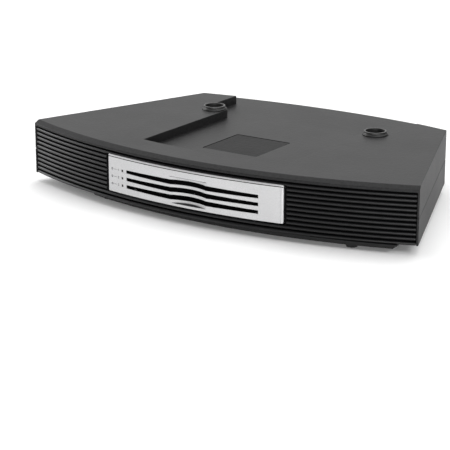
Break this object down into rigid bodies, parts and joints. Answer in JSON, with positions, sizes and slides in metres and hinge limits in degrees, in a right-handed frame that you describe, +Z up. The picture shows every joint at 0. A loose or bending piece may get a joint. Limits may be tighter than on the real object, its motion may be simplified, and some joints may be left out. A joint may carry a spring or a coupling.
{
  "type": "cd player",
  "caption": "Low wide disc changer with a bowed ribbed front, silver slotted fascia and a recess on top for a docked radio.",
  "frame": {"origin": "middle of the footprint on the surface the feet stand on", "axes": "+X to the right seen from the front, +Y to the rear, +Z up"},
  "size_m": [0.368, 0.2354, 0.0563],
  "materials": {
    "graphite": "fine-textured matt graphite moulding",
    "black": "satin black moulding",
    "fascia": "fine-grained silver, satin",
    "rubber": "soft black rubber",
    "steel": "plated sheet and turned steel",
    "lens": "dark tinted lamp window",
    "optic": "coated pickup lens",
    "board": "green solder mask",
    "ribbon": "pale flat cable",
    "inner_black": "matt black moulding"
  },
  "bodies": {
    "case": {"top_cover": "graphite", "base_tray": "graphite", "plinth": "black", "front_grille": "black", "front_panel": "fascia", "status_lenses": "lens", "cup_left": "rubber", "cup_right": "rubber", "service_cover": "graphite", "feet": "rubber", "base_screws": "steel", "rear_panel": "black", "link_sockets": "inner_black", "power_inlet": "inner_black", "chassis": "steel", "bearing_plate": "steel", "slot_frame": "inner_black", "loading_motor": "steel", "loading_belt": "rubber", "disc_shelf_2": "inner_black", "shelf_motor": "steel", "shelf_belt": "rubber", "pivot_post": "steel", "main_board": "board", "power_supply": "board", "led_board": "board", "ribbon_cable": "ribbon"},
    "flap_1": {"slot_flap_1": "inner_black"},
    "flap_2": {"slot_flap_2": "inner_black"},
    "flap_3": {"slot_flap_3": "inner_black"},
    "roller_1": {"roller_shaft_1": "steel", "roller_sleeve_1": "rubber"},
    "roller_2": {"roller_shaft_2": "steel", "roller_sleeve_2": "rubber"},
    "roller_3": {"roller_shaft_3": "steel", "roller_sleeve_3": "rubber"},
    "loading_drive": {"loading_pulley": "steel"},
    "shelf_top": {"disc_shelf_1": "inner_black"},
    "shelf_bottom": {"disc_shelf_3": "inner_black"},
    "screw_1": {"lead_screw_1": "steel"},
    "screw_2": {"lead_screw_2": "steel"},
    "screw_3": {"lead_screw_3": "steel"},
    "screw_4": {"lead_screw_4": "steel"},
    "shelf_drive": {"shelf_pulley": "steel"},
    "arm": {"play_arm": "steel", "guide_rods": "steel", "spindle_motor": "steel", "sled_motor": "steel"},
    "platter": {"turntable": "inner_black"},
    "sled": {"pickup_sled": "inner_black", "pickup_lens": "optic"},
    "sled_drive": {"sled_screw": "steel"},
    "clamp": {"clamp_arm": "steel"},
    "puck": {"clamp_puck": "inner_black"}
  },
  "joints": [
    {"name": "flap_1_hinge", "type": "hinge", "parent": "case", "child": "flap_1", "pos_m": [0, -0.1056, 0.03555], "axis": [1, 0, 0], "range_deg": [0, 75], "stiffness_Nm_per_rad": 0.0004},
    {"name": "flap_2_hinge", "type": "hinge", "parent": "case", "child": "flap_2", "pos_m": [0, -0.1056, 0.02935], "axis": [1, 0, 0], "range_deg": [0, 75], "stiffness_Nm_per_rad": 0.0004},
    {"name": "flap_3_hinge", "type": "hinge", "parent": "case", "child": "flap_3", "pos_m": [0, -0.1056, 0.02315], "axis": [1, 0, 0], "range_deg": [0, 75], "stiffness_Nm_per_rad": 0.0004},
    {"name": "roller_1_spin", "type": "hinge", "parent": "case", "child": "roller_1", "pos_m": [0, -0.0985, 0.03645], "axis": [1, 0, 0], "continuous": true},
    {"name": "roller_2_spin", "type": "hinge", "parent": "case", "child": "roller_2", "pos_m": [0, -0.0985, 0.03025], "axis": [1, 0, 0], "continuous": true},
    {"name": "roller_3_spin", "type": "hinge", "parent": "case", "child": "roller_3", "pos_m": [0, -0.0985, 0.02405], "axis": [1, 0, 0], "continuous": true},
    {"name": "loading_drive_spin", "type": "hinge", "parent": "case", "child": "loading_drive", "pos_m": [0.078, -0.068, 0.026], "axis": [1, 0, 0], "continuous": true},
    {"name": "screw_1_turn", "type": "hinge", "parent": "case", "child": "screw_1", "pos_m": [-0.066, -0.072, 0.025], "axis": [0, 0, 1], "range_deg": [0, 720]},
    {"name": "screw_2_turn", "type": "hinge", "parent": "case", "child": "screw_2", "pos_m": [0.066, -0.072, 0.025], "axis": [0, 0, 1], "range_deg": [0, 720]},
    {"name": "screw_3_turn", "type": "hinge", "parent": "case", "child": "screw_3", "pos_m": [-0.066, -0.014, 0.025], "axis": [0, 0, 1], "range_deg": [0, 720]},
    {"name": "screw_4_turn", "type": "hinge", "parent": "case", "child": "screw_4", "pos_m": [0.066, -0.014, 0.025], "axis": [0, 0, 1], "range_deg": [0, 720]},
    {"name": "shelf_drive_turn", "type": "hinge", "parent": "case", "child": "shelf_drive", "pos_m": [-0.086, -0.043, 0.013], "axis": [0, 0, 1], "range_deg": [0, 1440]},
    {"name": "shelf_top_lift", "type": "slide", "parent": "case", "child": "shelf_top", "axis": [0, 0, 1], "range_m": [0, 0.005]},
    {"name": "shelf_bottom_drop", "type": "slide", "parent": "case", "child": "shelf_bottom", "axis": [0, 0, -1], "range_m": [0, 0.005]},
    {"name": "arm_swing", "type": "hinge", "parent": "case", "child": "arm", "pos_m": [0.07775, 0.04837, 0.028], "axis": [0, 0, 1], "range_deg": [0, 47]},
    {"name": "platter_spin", "type": "hinge", "parent": "arm", "child": "platter", "pos_m": [-0.03625, 0.04837, 0.025], "axis": [0, 0, 1], "continuous": true},
    {"name": "sled_drive_turn", "type": "hinge", "parent": "arm", "child": "sled_drive", "pos_m": [0.00375, 0.05587, 0.024], "axis": [1, 0, 0], "range_deg": [0, 3600]},
    {"name": "sled_slide", "type": "slide", "parent": "arm", "child": "sled", "axis": [1, 0, 0], "range_m": [0, 0.035]},
    {"name": "clamp_lower", "type": "hinge", "parent": "arm", "child": "clamp", "pos_m": [0.06475, 0.04837, 0.0341], "axis": [0, -1, 0], "range_deg": [0, 1]},
    {"name": "puck_spin", "type": "hinge", "parent": "clamp", "child": "puck", "pos_m": [-0.03625, 0.04837, 0.032], "axis": [0, 0, 1], "continuous": true}
  ],
  "couplings": [
    {"joint": "roller_2_spin", "follows": "roller_1_spin", "ratio": 1},
    {"joint": "roller_3_spin", "follows": "roller_1_spin", "ratio": 1},
    {"joint": "loading_drive_spin", "follows": "roller_1_spin", "ratio": 1.5},
    {"joint": "screw_1_turn", "follows": "shelf_top_lift", "rad_per_m": 2513.3},
    {"joint": "screw_2_turn", "follows": "shelf_top_lift", "rad_per_m": 2513.3},
    {"joint": "screw_3_turn", "follows": "shelf_top_lift", "rad_per_m": 2513.3},
    {"joint": "screw_4_turn", "follows": "shelf_top_lift", "rad_per_m": 2513.3},
    {"joint": "shelf_drive_turn", "follows": "shelf_top_lift", "rad_per_m": 5026.5},
    {"joint": "shelf_bottom_drop", "follows": "shelf_top_lift", "ratio": 1},
    {"joint": "sled_drive_turn", "follows": "sled_slide", "rad_per_m": 1795.2}
  ]
}
